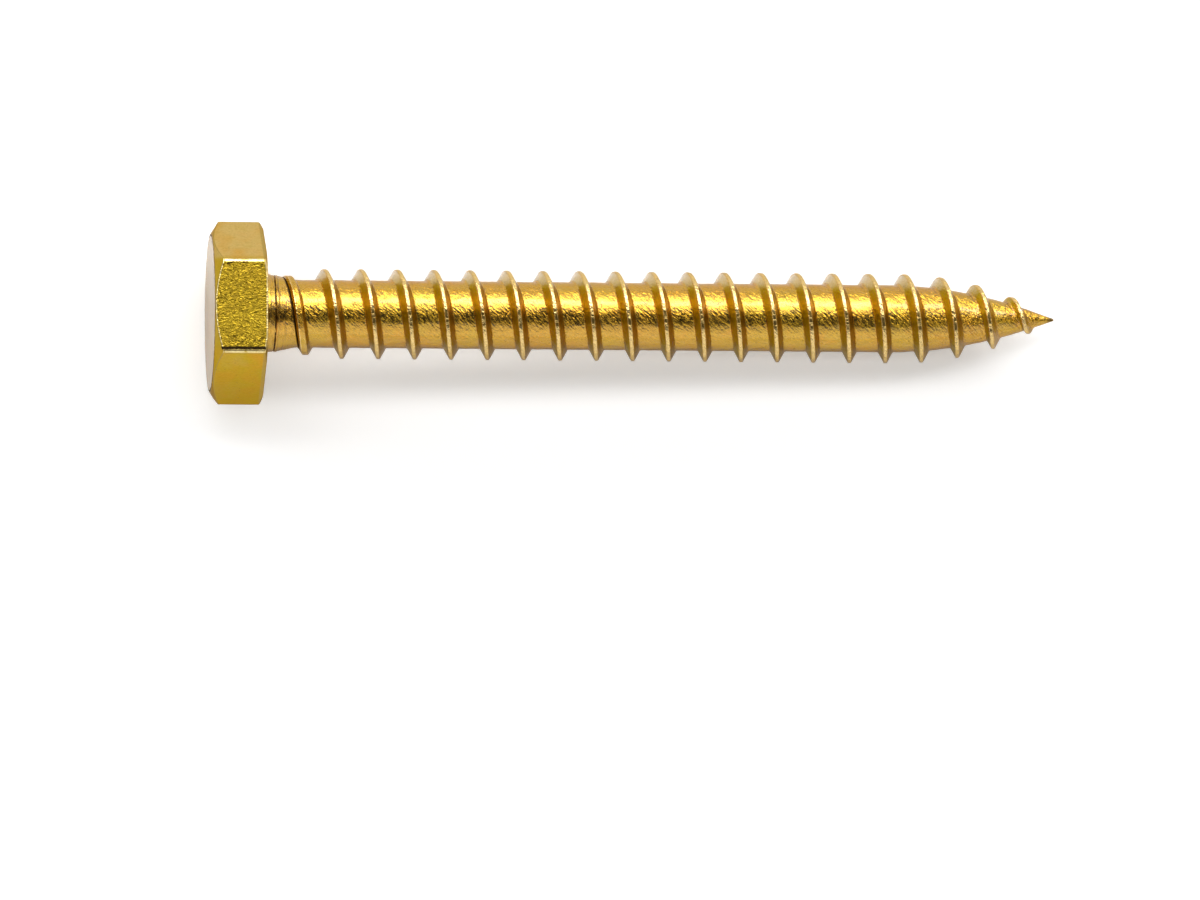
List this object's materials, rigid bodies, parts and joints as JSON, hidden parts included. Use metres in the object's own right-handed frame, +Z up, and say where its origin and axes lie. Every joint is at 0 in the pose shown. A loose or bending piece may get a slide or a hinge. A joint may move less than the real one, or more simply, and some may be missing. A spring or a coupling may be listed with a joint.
{
  "type": "hex-head roofing screw",
  "caption": "One-piece hexagon-head wood screw for roofing, with a coarse full-length thread that runs in at the neck and out at a gimlet point, finished in gold zinc.",
  "frame": {"origin": "middle of the screw's footprint on the surface that it lies on", "axes": "+Z up from that surface, +X along the screw from the head to the point; the axis of the screw lies in the XZ plane and falls about 3 degrees towards the point"},
  "size_m": [0.0594, 0.0128, 0.0113],
  "materials": {
    "gold_zinc": "zinc-plated steel with a yellow chromate, gold with olive and brown patches, forged texture on the head"
  },
  "bodies": {
    "root": {"roofing_screw": "gold_zinc"}
  },
  "joints": []
}
